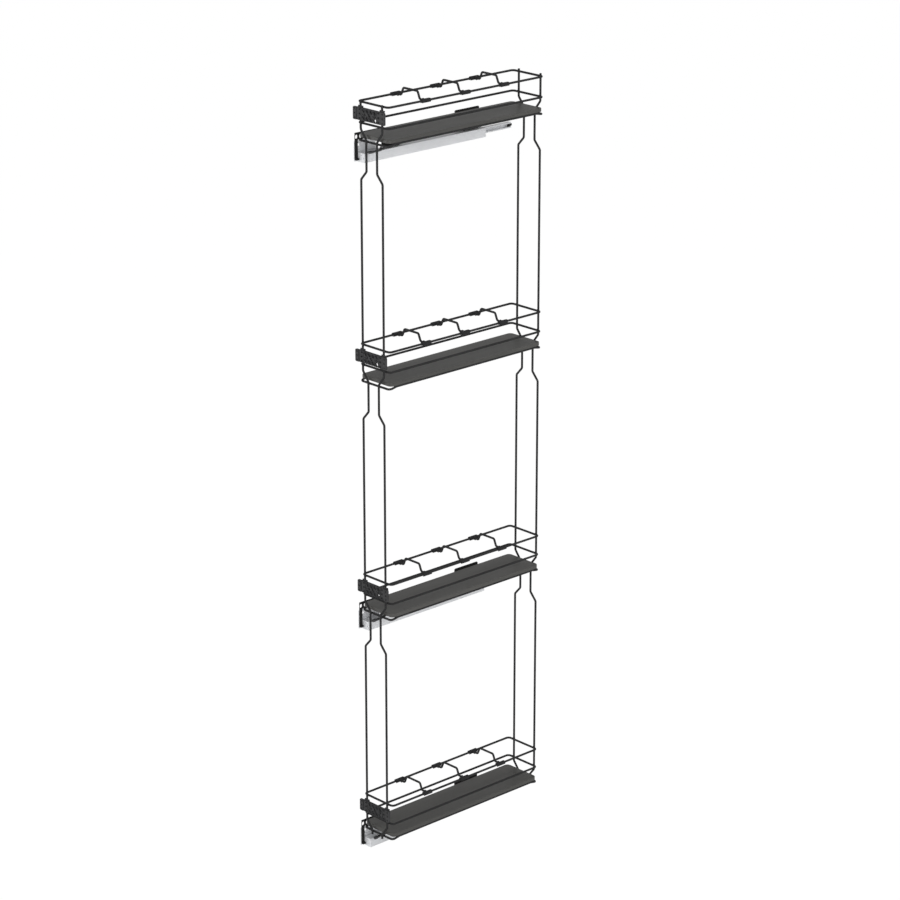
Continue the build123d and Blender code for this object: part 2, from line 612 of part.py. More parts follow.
# Release levers, flat arms that swing over the drawer rails
for tier in RUNNER_TIERS:
    with BuildPart() as release_lever:
        lever_z = runner_z(tier) + drawer_top + LEVER_PLAY
        pad = (lever_pivot_x + LEVER_REACH, drawer_front + LEVER_PAD_SETBACK)
        elbow = (pad[0] - LEVER_ELBOW, lever_pivot_y - LEVER_REACH)
        with BuildSketch(Plane.XY.offset(lever_z)):
            with BuildLine():
                Polyline((lever_pivot_x, lever_pivot_y), elbow, pad)
            trace(line_width=LEVER_WIDTH)
            with Locations((lever_pivot_x, lever_pivot_y)):
                Circle(LEVER_WIDTH / 2 + LEVER_EYE)
            with Locations(pad):
                RectangleRounded(LEVER_PAD_WIDTH, LEVER_PAD_LENGTH, LEVER_PAD_CORNER)
        extrude(amount=LEVER_THICKNESS)
        with BuildSketch(Plane.XY.offset(lever_z + LEVER_THICKNESS)):
            with Locations(pad):
                RectangleRounded(LEVER_PAD_WIDTH, LEVER_PAD_LENGTH, LEVER_PAD_CORNER)
        extrude(amount=LEVER_PAD_RISE)
        rod((lever_pivot_x, lever_pivot_y, lever_z), (0, 0, 1), LEVER_THICKNESS,
            PIVOT_PIN / 2 + PIVOT_PLAY, Mode.SUBTRACT)
    save(release_lever, f"release_lever_{tier}")


# Door brackets: a base clamped on the front uprights, and a perforated plate that takes the door
bracket_screw_xs = (centre - BRACKET_SCREW_SPACING / 2, centre + BRACKET_SCREW_SPACING / 2)
last_column = (RIB_SLOT_COLUMNS - 1) / 2
access_place = (last_column * RIB_SLOT_PITCH, -RIB_SLOT_ROW)
rib_slot_places = [((column - last_column) * RIB_SLOT_PITCH, side * RIB_SLOT_ROW)
                   for column in range(RIB_SLOT_COLUMNS) for side in (-1, 1)]
rib_slot_places.remove(access_place)

for tier in range(1, TIERS + 1):
    top = basket_z(tier) - BRACKET_TOP
    middle_z = basket_z(tier) - bracket_middle
    with BuildPart() as bracket_base:
        base_half = UPRIGHT_SPACING / 2 + WIRE / 2 + CLAMP_CHEEK + CLAMP_PLAY
        plate = (base_face, base_face + BRACKET_STEEL)
        block((centre - base_half, centre + base_half), plate, (top - BRACKET_HEIGHT, top))
        for x in upright_xs:
            reach = WIRE / 2 + CLAMP_PLAY
            heights = (top - BRACKET_HEIGHT + CLAMP_MARGIN, top - CLAMP_MARGIN)
            for cheek in ((x - reach - CLAMP_CHEEK, x - reach), (x + reach, x + reach + CLAMP_CHEEK)):
                block(cheek, (plate[1], plate[1] + CLAMP_DEPTH), heights)
            lug = (x + BRACKET_LUGS[0], x + BRACKET_LUGS[1])
            block(lug, plate, (top, top + BRACKET_LUG_RISE))
        for x in bracket_screw_xs:
            rod((x, plate[1], middle_z), (0, 1, 0), BRACKET_BOSS_LENGTH, BRACKET_BOSS / 2)
            rod((x, plate[0], middle_z), (0, 1, 0), BRACKET_STEEL + BRACKET_BOSS_LENGTH,
                BRACKET_SCREW / 2 + THREAD_PLAY, Mode.SUBTRACT)
        rod((centre + access_place[0], plate[0], middle_z + access_place[1]), (0, 1, 0), BRACKET_STEEL,
            ACCESS_HOLE / 2, Mode.SUBTRACT)
    save(bracket_base, f"bracket_base_{tier}")

    with BuildPart() as door_plate:
        heights = (top - BRACKET_HEIGHT, top)
        block((centre - BRACKET_WIDTH / 2, centre + BRACKET_WIDTH / 2), (door_face, base_face), heights)
        block((centre - BRACKET_BODY_WIDTH / 2, centre + BRACKET_BODY_WIDTH / 2), (door_face, body_face),
              heights, Mode.SUBTRACT)
        corners = door_plate.edges().filter_by(Axis.Y).group_by(Axis.X)
        fillet(corners[0] + corners[-1], radius=BRACKET_CORNER)
        face = Plane((centre, door_face, middle_z), x_dir=(1, 0, 0), z_dir=(0, -1, 0))
        with BuildSketch(face) as openings:
            with GridLocations(DOOR_HOLE_SPACING, DOOR_HOLE_PITCH, 2, DOOR_HOLE_ROWS):
                Circle(DOOR_HOLE / 2)
            with GridLocations(PEG_HOLE_SPACING, DOOR_HOLE_PITCH, 2, DOOR_HOLE_ROWS):
                Circle(PEG_HOLE / 2)
            with GridLocations(BRACKET_SCREW_SPACING, 0, 2, 1):
                SlotOverall(BRACKET_SLOT, BRACKET_SCREW + BRACKET_SLOT_PLAY)
            with Locations((0, 0), *rib_slot_places):
                SlotOverall(RIB_SLOT_LENGTH, RIB_SLOT_WIDTH, rotation=RIB_SLOT_SLANT)
            with Locations(access_place):
                Circle(ACCESS_HOLE / 2)
        extrude(openings.sketch, amount=-DOOR_PLATE, mode=Mode.SUBTRACT)
    save(door_plate, f"door_plate_{tier}")


# Bracket screws, two in each door bracket
with BuildPart() as bracket_screws:
    screw_length = base_face - body_face + BRACKET_STEEL + BRACKET_BOSS_LENGTH
    for tier in range(1, TIERS + 1):
        middle_z = basket_z(tier) - bracket_middle
        for x in bracket_screw_xs:
            pan_screw((x, body_face, middle_z), (0, 1, 0), BRACKET_SCREW, BRACKET_SCREW_HEAD,
                      BRACKET_SCREW_HEAD_HEIGHT, screw_length)
            head_face = body_face - BRACKET_SCREW_HEAD_HEIGHT
            recess = (head_face, head_face + RECESS_DEPTH)
            arm, across = RECESS_WIDTH / 2, BRACKET_SCREW / 2
            block((x - arm, x + arm), recess, (middle_z - across, middle_z + across), Mode.SUBTRACT)
            block((x - across, x + across), recess, (middle_z - arm, middle_z + arm), Mode.SUBTRACT)
save(bracket_screws, "bracket_screws")
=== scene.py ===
import json
import math
import random

import bmesh
import bpy
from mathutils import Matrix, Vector


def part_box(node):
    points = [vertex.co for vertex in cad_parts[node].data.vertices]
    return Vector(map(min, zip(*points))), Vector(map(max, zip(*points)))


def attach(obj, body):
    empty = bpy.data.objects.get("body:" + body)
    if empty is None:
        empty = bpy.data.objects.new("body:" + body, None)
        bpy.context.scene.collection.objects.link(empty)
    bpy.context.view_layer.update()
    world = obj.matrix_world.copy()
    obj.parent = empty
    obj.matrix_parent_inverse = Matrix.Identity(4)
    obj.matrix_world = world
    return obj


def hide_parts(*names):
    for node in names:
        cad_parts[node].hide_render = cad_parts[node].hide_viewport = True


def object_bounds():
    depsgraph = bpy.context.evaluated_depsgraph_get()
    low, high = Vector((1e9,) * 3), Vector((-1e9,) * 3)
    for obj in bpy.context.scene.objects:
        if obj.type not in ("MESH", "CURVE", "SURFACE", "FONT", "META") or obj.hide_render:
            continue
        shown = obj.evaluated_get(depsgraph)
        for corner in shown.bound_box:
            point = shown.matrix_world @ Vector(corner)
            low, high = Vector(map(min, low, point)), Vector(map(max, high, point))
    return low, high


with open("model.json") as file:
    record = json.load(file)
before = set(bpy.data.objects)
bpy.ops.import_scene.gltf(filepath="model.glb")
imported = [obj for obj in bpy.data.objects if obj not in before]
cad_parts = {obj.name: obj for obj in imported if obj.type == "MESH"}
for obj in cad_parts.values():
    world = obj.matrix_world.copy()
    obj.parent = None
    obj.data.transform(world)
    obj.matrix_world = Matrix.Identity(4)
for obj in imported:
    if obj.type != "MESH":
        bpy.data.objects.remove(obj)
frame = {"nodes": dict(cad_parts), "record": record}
cad_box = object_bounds()
nodes = frame["nodes"]

MM = 0.001
TIERS = (1, 2, 3, 4)
RUNNER_TIERS = (1, 2, 4)
DIVIDERS = "abc"
UPRIGHTS = ("front_left", "front_right", "rear_left", "rear_right")
WIRE = 5.0 * MM
X, Y, Z = Vector((1, 0, 0)), Vector((0, 1, 0)), Vector((0, 0, 1))
SHARP_EDGE = math.radians(38.0)  # edges steeper than this aren't smoothed
SAME_POINT = 0.001 * MM  # points nearer than this are one

# View of the photograph: the camera's place beside the rack, and the point that it looks at
CAMERA_PLACE = (4.9186, -4.490, 3.203)
CAMERA_TARGET = (0.0587, 0.056, 0.9176)
CAMERA_LENS = 125.0
SENSOR = 36.0

# Floor, surroundings and lights
FLOOR_DROP = 0.06  # floor below the lowest point of the rack
FLOOR_RADIUS = 40.0
FLOOR_SEGMENTS = 96
FLOOR_GREY = (0.9, 0.9, 0.9, 1.0)
FLOOR_GLOW = 1.03
FLOOR_GLOW_SHARE = 0.95
WHITE = (1.0, 1.0, 1.0, 1.0)
WORLD_LIGHT = 0.48
SOFTBOXES = {  # place and width in metres, power in watts
    "key": ((4.0, -2.6, 2.6), 4.2, 135.0),
    "fill": ((-2.6, -3.0, 1.8), 2.6, 45.0),
    "back": ((1.0, 3.4, 2.6), 3.2, 40.0),
}

# Wires and welds
TIP = 0.8 * MM  # height of the rounded tips of the wires
TIP_RINGS = 6
BASE_DIP = 4.0 * MM  # front and rear of a base frame, below its sides
NECK_SPACING = 34.0 * MM
CROSS_WIRES = 3
CROSS_MARGIN = 30.0 * MM  # uprights to the first and the last cross wire
WELD = 2.5 * MM  # half the width of a weld bead between two wires
WELD_DEPTH = 1.5 * MM
WELD_ROWS, WELD_COLUMNS = 7, 16
WELD_WAIST = 0.8  # share of WELD that a bead reaches along the wires
WELD_CORNER = 0.35  # share of WELD added in the corners between them
WELD_RIPPLE = 0.06  # share of WELD by which the outline wavers
WELD_LEAN = 0.1  # share of WELD_DEPTH by which the height wavers
BUTT_WELD_HALF = 1.0 * MM  # half the length of the ground weld round a butt joint
BUTT_WELD_SHOULDER = 0.6 * MM
BUTT_WELD_CROWN = 0.08 * MM  # above the wire
BUTT_WELD_ROOT = 0.2 * MM  # ends, below the wire's surface

# Ribs and rims, with outlines in shares of their width and height
RELIEF = 0.8 * MM  # height of the ribs and rims on a bracket
RIB_WIDTH = 0.9 * MM
RIB_OUTLINE = ((-0.5, 0.0), (-0.5, 0.6), (-0.3, 1.0), (0.3, 1.0), (0.5, 0.6), (0.5, 0.0))
RIM_START = 0.1  # gap between a hole's edge and its rim
RIM_BEVEL = 0.25
RIM_SHOULDER = 0.7
OVAL_SEGMENTS = 24

# Screws, in shares of the head's width and height and of the shank's width
HEAD_RINGS = 14
HEAD_FALL = 0.4  # fall of the head from its middle to its rim
RECESS_DEPTH = 0.6
RECESS_REACH = 0.3
RECESS_ARM = 0.085
RECESS_END_SLOPE = 2.5
RECESS_SIDE_SLOPE = 3.0
THREAD_PITCH = 0.2
THREAD_ROOT = 0.42
THREAD_RUNOUT = 1.5  # pitches without a thread at each end
SHANK_END = 0.45
SHANK_POINT = 0.3

# Door brackets
BRACKET_BODY_WIDTH = 80.0 * MM
BRACKET_RECESS = 1.5 * MM
BRACKET_SCREW = 4.0 * MM
BRACKET_SCREW_HEAD = 7.0 * MM
BRACKET_SCREW_HEAD_HEIGHT = 1.4 * MM
RIB_SLOT_LENGTH = 9.0 * MM
RIB_SLOT_WIDTH = 3.4 * MM
RIB_SLOT_PITCH = 12.0 * MM
RIB_SLOT_ROW = 8.0 * MM
RIB_SLOT_COLUMNS = 4
RIB_SLOT_SLANT = math.radians(-50.0)
PEG_HOLE = 3.6 * MM
PEG_HOLE_SPACING = 60.0 * MM
PEG_HOLE_PITCH = 10.0 * MM
PEG_HOLE_ROWS = 3

# Dividers
SOCKET_REACH = 8.5 * MM  # guard rail to the rim of a divider's socket
SOCKET_RADIUS = 3.8 * MM
CLIP_HALF = 4.1 * MM
CLIP_LENGTH = 25.0 * MM
GRIP_RIBS = 6
GRIP_RIB = 0.7 * MM
GRIP_MARGIN = 2 * GRIP_RIB  # bare ends of a clip, beyond its ribs

# Runners, carriers and levers
CARRIER_SCREW = 3.2 * MM
CARRIER_SCREW_HEAD = 5.5 * MM
CARRIER_SCREW_HEAD_HEIGHT = 1.6 * MM
TAB_SCREW_PITCH = 32.0 * MM
TAB_SCREW_HEIGHT = 26.0 * MM
SCREW_HOLE = 6.4 * MM
TAB_STEEL = 1.5 * MM
PRESSED = 0.35 * MM  # height of the rims pressed round the screw holes
PRESSED_WIDTH = 2 * RIB_WIDTH
SCREW_SPACING = 288.0 * MM
DRAWER_RAIL_HEIGHT = 20.5 * MM
LEVER_EYE = 4.25 * MM
LEVER_PAD = (7.0 * MM, 11.0 * MM)
PAD_RIDGES = 4
PAD_RIDGE_PITCH = 2.2 * MM
PIVOT_HEAD = 7.0 * MM
RIVET_CROWN = 0.8 * MM
RIVET_OUTLINE = ((0.96, 0.0), (0.92, 0.3), (0.7, 0.8), (0.4, 1.0), (0.26, 0.6), (0.06, 0.4))

# Colours: the dark and the light shade that each surface wavers between
WIRE_SHADES = (0.026, 0.026, 0.0265), (0.037, 0.037, 0.038)
CLIP_SHADES = (0.019, 0.019, 0.020), (0.032, 0.032, 0.033)
BRACKET_SHADES = (0.021, 0.021, 0.022), (0.034, 0.034, 0.036)
CARRIER_SHADES = (0.019, 0.019, 0.019), (0.028, 0.028, 0.028)
SHELF_SHADES = (0.047, 0.0465, 0.0435), (0.073, 0.0715, 0.067)
RUNNER_SHADES = (0.75, 0.76, 0.78), (0.83, 0.84, 0.86)
CAGE_SHADES = (0.46, 0.47, 0.48), (0.58, 0.59, 0.60)
SCREW_SHADES = (0.018, 0.018, 0.019), (0.036, 0.036, 0.038)
LEVER_SHADES = (0.040, 0.040, 0.042), (0.062, 0.062, 0.065)
STOP_SHADES = (0.012, 0.012, 0.012), (0.020, 0.020, 0.021)

# Surfaces: noise scales per metre, lowest and highest roughness, strength and height of the bump
COAT_CLOUDS, COAT_PEEL, COAT_PEEL_SHARE = 40.0, 900.0, 0.35
COAT_ROUGHNESS, COAT_GLOSS = (0.5, 0.6), 0.05
COAT_BUMP = (0.2, 0.03 * MM)
PLASTIC_FLOW, PLASTIC_GRAIN = 90.0, 2600.0
PLASTIC_FLOW_DRAWN = 0.25  # scale of the flow marks lengthwise, as a share of that across
PLASTIC_ROUGHNESS, PLASTIC_GLOSS = (0.48, 0.62), 0.35
PLASTIC_BUMP = (0.3, 0.05 * MM)
METAL_LINES, METAL_CLOUDS, METAL_LINES_SHARE = 1400.0, 30.0, 0.4
METAL_LINES_DRAWN, METAL_CLOUDS_DRAWN = 0.012, 0.3
METAL_ROUGHNESS = (0.42, 0.54)
METAL_BUMP = (0.15, 0.02 * MM)
RUNNER_METALLIC, CAGE_METALLIC, SCREW_METALLIC = 0.15, 0.7, 0.5
BOARD_FIBRE, BOARD_CLOUDS, BOARD_CLOUDS_SHARE = 520.0, 26.0, 0.5
BOARD_FIBRE_DRAWN, BOARD_CLOUDS_DRAWN = 0.03, 0.15
BOARD_ROUGHNESS, BOARD_GLOSS = (0.38, 0.48), 0.45
BOARD_BUMP = (0.25, 0.06 * MM)
DIVIDER_GRAIN = 1500.0
DIVIDER_ROUGHNESS, DIVIDER_GLOSS = (0.48, 0.6), 0.06
RAMP_START, RAMP_END = 0.35, 0.65  # noise values where a ramp begins and ends
MIX_FIRST, MIX_SECOND, MIX_RESULT = 6, 7, 2  # a colour blend's sockets, which share their names


# Materials

def empty_tree(owner):
    """Node tree of a new material or world, with nothing in it."""
    owner.use_nodes = True
    owner.node_tree.nodes.clear()
    return owner.node_tree


def new_material(name):
    """Node material with its shader and object coordinates."""
    material = bpy.data.materials.new(name)
    tree = empty_tree(material)
    output = tree.nodes.new("ShaderNodeOutputMaterial")
    shader = tree.nodes.new("ShaderNodeBsdfPrincipled")
    tree.links.new(shader.outputs["BSDF"], output.inputs["Surface"])
    place = tree.nodes.new("ShaderNodeTexCoord").outputs["Object"]
    return material, tree, shader, place


def noise(tree, place, scale, detail=3.0, roughness=0.5, drawn=None):
    """Noise value at a scale per metre, drawn out lengthwise where drawn is a share of that scale."""
    if drawn:
        mapping = tree.nodes.new("ShaderNodeMapping")
        mapping.inputs["Scale"].default_value = (1.0, drawn, 1.0)
        tree.links.new(place, mapping.inputs["Vector"])
        place = mapping.outputs["Vector"]
    texture = tree.nodes.new("ShaderNodeTexNoise")
    texture.inputs["Scale"].default_value = scale
    texture.inputs["Detail"].default_value = detail
    texture.inputs["Roughness"].default_value = roughness
    tree.links.new(place, texture.inputs["Vector"])
    return texture.outputs["Fac"]


def ramp(tree, value, low, high):
    """Colour or grey level that runs from low to high with a noise value."""
    node = tree.nodes.new("ShaderNodeValToRGB")
    for element, at, level in zip(node.color_ramp.elements, (RAMP_START, RAMP_END), (low, high)):
        element.position = at
        element.color = (*level, 1.0) if isinstance(level, tuple) else (level, level, level, 1.0)
    tree.links.new(value, node.inputs["Fac"])
    return node.outputs["Color"]


def mix(tree, share, first, second):
    """Blend of two colours."""
    node = tree.nodes.new("ShaderNodeMix")
    node.data_type = "RGBA"
    sockets = node.inputs["Factor"], node.inputs[MIX_FIRST], node.inputs[MIX_SECOND]
    for socket, value in zip(sockets, (share, first, second)):
        if isinstance(value, bpy.types.NodeSocket):
            tree.links.new(value, socket)
        else:
            socket.default_value = value
    return node.outputs[MIX_RESULT]


def calculate(tree, operation, value, number=0.0):
    """Result of a sum on a value and a number."""
    node = tree.nodes.new("ShaderNodeMath")
    node.operation = operation
    node.inputs[1].default_value = number
    tree.links.new(value, node.inputs[0])
    return node.outputs["Value"]


def dress(tree, shader, colour, grain, roughness, relief):
    """Colour of a surface, with a roughness and a bump that follow its grain."""
    tree.links.new(colour, shader.inputs["Base Color"])
    tree.links.new(ramp(tree, grain, *roughness), shader.inputs["Roughness"])
    bump = tree.nodes.new("ShaderNodeBump")
    bump.inputs["Strength"].default_value, bump.inputs["Distance"].default_value = relief
    tree.links.new(grain, bump.inputs["Height"])
    tree.links.new(bump.outputs["Normal"], shader.inputs["Normal"])


def powder_coat(name, shades):
    """Satin powder coat: fine orange peel, faint cloudiness in colour and gloss."""
    material, tree, shader, place = new_material(name)
    cloud = noise(tree, place, COAT_CLOUDS)
    peel = noise(tree, place, COAT_PEEL, detail=2.0)
    colour = mix(tree, COAT_PEEL_SHARE, ramp(tree, cloud, *shades), ramp(tree, peel, *shades))
    dress(tree, shader, colour, peel, COAT_ROUGHNESS, COAT_BUMP)
    shader.inputs["Specular IOR Level"].default_value = COAT_GLOSS
    return material


def moulded_plastic(name, shades):
    """Moulded plastic with a fine eroded grain and faint flow marks."""
    material, tree, shader, place = new_material(name)
    flow = noise(tree, place, PLASTIC_FLOW, drawn=PLASTIC_FLOW_DRAWN)
    grain = noise(tree, place, PLASTIC_GRAIN, detail=1.0)
    dress(tree, shader, ramp(tree, flow, *shades), grain, PLASTIC_ROUGHNESS, PLASTIC_BUMP)
    shader.inputs["Specular IOR Level"].default_value = PLASTIC_GLOSS
    return material


def rolled_metal(name, shades, metallic):
    """Metal sheet or bar: fine lines lengthwise from rolling, over faint cloudiness."""
    material, tree, shader, place = new_material(name)
    lines = noise(tree, place, METAL_LINES, detail=4.0, drawn=METAL_LINES_DRAWN)
    cloud = noise(tree, place, METAL_CLOUDS, detail=2.0, drawn=METAL_CLOUDS_DRAWN)
    colour = mix(tree, METAL_LINES_SHARE, ramp(tree, cloud, *shades), ramp(tree, lines, *shades))
    dress(tree, shader, colour, lines, METAL_ROUGHNESS, METAL_BUMP)
    shader.inputs["Metallic"].default_value = metallic
    return material


def laminate(name, shades):
    """Board with a faint grain along the shelf."""
    material, tree, shader, place = new_material(name)
    fibre = noise(tree, place, BOARD_FIBRE, detail=5.0, roughness=0.6, drawn=BOARD_FIBRE_DRAWN)
    cloud = noise(tree, place, BOARD_CLOUDS, drawn=BOARD_CLOUDS_DRAWN)
    colour = mix(tree, BOARD_CLOUDS_SHARE, ramp(tree, fibre, *shades), ramp(tree, cloud, *shades))
    dress(tree, shader, colour, fibre, BOARD_ROUGHNESS, BOARD_BUMP)
    shader.inputs["Specular IOR Level"].default_value = BOARD_GLOSS
    return material


def divider_finish(name):
    """Powder-coated wire that turns to plastic where the clips and their sockets are."""
    material, tree, shader, place = new_material(name)
    low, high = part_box("guard_rails_1")
    split = tree.nodes.new("ShaderNodeSeparateXYZ")
    tree.links.new(place, split.inputs["Vector"])
    offset = calculate(tree, "SUBTRACT", split.outputs["X"], (low.x + high.x) / 2)
    reach = calculate(tree, "ABSOLUTE", offset)
    clip = calculate(tree, "GREATER_THAN", reach, (high.x - low.x) / 2 - WIRE / 2 - SOCKET_REACH)
    grain = noise(tree, place, DIVIDER_GRAIN, detail=2.0)
    colour = mix(tree, clip, ramp(tree, grain, *WIRE_SHADES), ramp(tree, grain, *CLIP_SHADES))
    dress(tree, shader, colour, grain, DIVIDER_ROUGHNESS, COAT_BUMP)
    shader.inputs["Specular IOR Level"].default_value = DIVIDER_GLOSS
    return material


FINISHES = {
    "wire": powder_coat("wire_coat", WIRE_SHADES),
    "bracket": moulded_plastic("bracket_black", BRACKET_SHADES),
    "carrier": powder_coat("carrier_black", CARRIER_SHADES),
    "divider": divider_finish("divider_black"),
    "shelf": laminate("shelf_laminate", SHELF_SHADES),
    "runner": rolled_metal("runner_zinc", RUNNER_SHADES, RUNNER_METALLIC),
    "ball_cage": rolled_metal("cage_steel", CAGE_SHADES, CAGE_METALLIC),
    "screw": rolled_metal("screw_black", SCREW_SHADES, SCREW_METALLIC),
    "lever": moulded_plastic("lever_grey", LEVER_SHADES),
    "stop": moulded_plastic("stop_black", STOP_SHADES),
}

for entry in frame["record"]["subparts"]:
    mesh = nodes[entry["node"]].data
    mesh.materials.clear()
    mesh.materials.append(FINISHES[entry["material_slot"]])


# Shapes that the details are made of

def new_piece(name, shape, slot, body):
    """Object from a finished shape, riding on a body."""
    bmesh.ops.recalc_face_normals(shape, faces=shape.faces)
    mesh = bpy.data.meshes.new(name)
    shape.to_mesh(mesh)
    shape.free()
    mesh.shade_smooth()
    mesh.set_sharp_from_angle(angle=SHARP_EDGE)
    mesh.materials.append(FINISHES[slot])
    piece = bpy.data.objects.new(name, mesh)
    bpy.context.scene.collection.objects.link(piece)
    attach(piece, body)
    return piece


def bridge(shape, rings, closed=False):
    """Faces between rings of points, each joined to the next."""
    following = rings[1:] + rings[:1] if closed else rings[1:]
    for first, second in zip(rings, following):
        count = len(first)
        for index in range(count):
            after = (index + 1) % count
            shape.faces.new((first[index], first[after], second[after], second[index]))


def capped(shape, rings):
    """Closed solid through rings of points, with a flat face at each end."""
    bridge(shape, rings)
    shape.faces.new(rings[0])
    shape.faces.new(rings[-1])


def circle(segments):
    """Angles of evenly spaced points round a circle."""
    return [2 * math.pi * index / segments for index in range(segments)]


def turned_rings(shape, place, direction, profile, segments):
    """Rings of points round a direction; the profile gives their radii and heights."""
    turn = direction.to_track_quat("Z", "Y").to_matrix()
    rings = []
    for radius, height in profile:
        points = [Vector((radius * math.cos(a), radius * math.sin(a), height)) for a in circle(segments)]
        rings.append([shape.verts.new(place + turn @ point) for point in points])
    return rings


def turned(shape, place, direction, profile, segments=24):
    """Solid of revolution; the profile gives radius and height, from one end to the other."""
    capped(shape, turned_rings(shape, place, direction, profile, segments))


def weld(shape, place, first, second, chance):
    """Bead where two crossed wires touch: a flat blob that bulges into the corners between them."""
    across = first.cross(second)
    phase = chance.uniform(0, math.pi)
    rings = []
    for row in range(1, WELD_ROWS):
        tilt = math.pi * row / WELD_ROWS
        ring = []
        for turn in circle(WELD_COLUMNS):
            corner = abs(math.sin(2 * turn))
            size = WELD * (WELD_WAIST + WELD_CORNER * corner + WELD_RIPPLE * math.sin(3 * turn + phase))
            flat = size * math.sin(tilt)
            point = (first * math.cos(turn) + second * math.sin(turn)) * flat
            lean = 1 + WELD_LEAN * math.sin(2 * turn + phase)
            point += across * WELD_DEPTH * math.cos(tilt) * lean
            ring.append(shape.verts.new(place + point))
        rings.append(ring)
    capped(shape, rings)


def butt_weld(shape, place):
    """Ground weld round a joint where two wires along Y meet end to end."""
    end = [(WIRE / 2 + BUTT_WELD_CROWN / 2, BUTT_WELD_SHOULDER), (WIRE / 2 - BUTT_WELD_ROOT, BUTT_WELD_HALF)]
    start = [(radius, -along) for radius, along in reversed(end)]
    turned(shape, place, Y, start + [(WIRE / 2 + BUTT_WELD_CROWN, 0.0)] + end)


def tip(shape, place, direction):
    """Rounded end of a cut wire."""
    steps = [math.pi / 2 * index / TIP_RINGS for index in range(TIP_RINGS)]
    profile = [(WIRE / 2 * math.cos(angle), TIP * math.sin(angle)) for angle in steps]
    turned(shape, place, direction, profile)


def oval(length, width, grow, slant):
    """Outline of a slot, grown all round, turned by slant; a round hole is as long as it is wide."""
    radius = width / 2 + grow
    reach = (length - width) / 2
    points = []
    for index in range(OVAL_SEGMENTS):
        turn = 2 * math.pi * (index + 0.5) / OVAL_SEGMENTS
        along = math.copysign(reach, math.cos(turn)) + radius * math.cos(turn)
        aside = radius * math.sin(turn)
        points.append((along * math.cos(slant) - aside * math.sin(slant),
                       along * math.sin(slant) + aside * math.cos(slant)))
    return points


def rim(shape, place, right, up, length, width, slant=0.0, height=RELIEF, wall=RIB_WIDTH):
    """Raised rim round a slot or a hole, with a bevelled crest."""
    outwards = right.cross(up)
    start = RIM_START * wall
    profile = [(start, 0.0), (start, RIM_SHOULDER * height), (start + RIM_BEVEL * wall, height),
               (start + (1 - RIM_BEVEL) * wall, height), (start + wall, RIM_SHOULDER * height),
               (start + wall, 0.0)]
    rings = []
    for grow, level in profile:
        outline = oval(length, width, grow, slant)
        rings.append([shape.verts.new(place + right * a + up * b + outwards * level) for a, b in outline])
    bridge(shape, rings, closed=True)


def rib(shape, start, end, outwards, width=RIB_WIDTH, height=RELIEF):
    """Straight raised rib with bevelled sides, from one point to another."""
    side = (end - start).normalized().cross(outwards)
    capped(shape, [[shape.verts.new(at + side * width * a + outwards * height * b) for a, b in RIB_OUTLINE]
                   for at in (start, end)])


def cross_recess(x, y, reach, arm):
    """Depth of a screw's cross recess at a point of its head, from 0 to 1."""
    depth = 0.0
    for along, aside in ((abs(x), abs(y)), (abs(y), abs(x))):
        if aside < arm and along < reach:
            end = min(1.0, RECESS_END_SLOPE * (1 - along / reach))
            depth = max(depth, end * min(1.0, RECESS_SIDE_SLOPE * (1 - aside / arm)))
    return depth


def screw_head(shape, seat, direction, head, head_height, segments):
    """Rings of points from the middle of a pan head with a cross recess to its rim."""
    turn = direction.to_track_quat("Z", "Y").to_matrix()
    rings = []
    for step in range(1, HEAD_RINGS + 1):
        radius = head / 2 * step / HEAD_RINGS
        crown = head_height * (1 - HEAD_FALL * (radius / (head / 2)) ** 3)
        ring = []
        for a in circle(segments):
            x, y = radius * math.cos(a), radius * math.sin(a)
            sunk = RECESS_DEPTH * head_height * cross_recess(x, y, RECESS_REACH * head, RECESS_ARM * head)
            ring.append(shape.verts.new(seat + turn @ Vector((x, y, sunk - crown))))
        rings.append(ring)
    return rings


def screw(shape, seat, direction, shank, head, head_height, length, segments=56):
    """Pan-head screw with a cross recess and a thread; the shank runs from the seat along direction."""
    rings = screw_head(shape, seat, direction, head, head_height, segments)
    profile = [(head / 2, 0.0), (shank / 2, 0.0)]
    pitch = THREAD_PITCH * shank
    height = THREAD_RUNOUT * pitch
    while height < length - THREAD_RUNOUT * pitch:
        profile += [(shank / 2, height), (THREAD_ROOT * shank, height + pitch / 2)]
        height += pitch
    profile += [(SHANK_END * shank, length - pitch), (SHANK_POINT * shank, length)]
    capped(shape, rings + turned_rings(shape, seat, direction, profile, segments))


# Places of the wires

def middle(node):
    """Middle of a node's box."""
    low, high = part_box(node)
    return (low + high) / 2


def upright_place(name):
    """Centre line of an upright where it isn't drawn in: its x and y."""
    low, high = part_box(f"upright_{name}")
    left = name.endswith("left")
    return (low.x + WIRE / 2 if left else high.x - WIRE / 2), (low.y + high.y) / 2


def rail_heights(tier):
    """Heights of the centre lines of a basket's upper and lower guard rails."""
    low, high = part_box(f"guard_rails_{tier}")
    return high.z - WIRE / 2, low.z + WIRE / 2


centre_x = middle("guard_rails_1").x
front_y, rear_y = upright_place("front_left")[1], upright_place("rear_left")[1]
middle_y = (front_y + rear_y) / 2
cross_ys = [front_y + CROSS_MARGIN + index * (rear_y - front_y - 2 * CROSS_MARGIN) / (CROSS_WIRES - 1)
            for index in range(CROSS_WIRES)]


def neck_x(name):
    """Centre line of an upright's neck: its x."""
    side = -1 if name.endswith("left") else 1
    return centre_x + side * NECK_SPACING / 2


# Welds between the wires, and the rounded tips of the wires

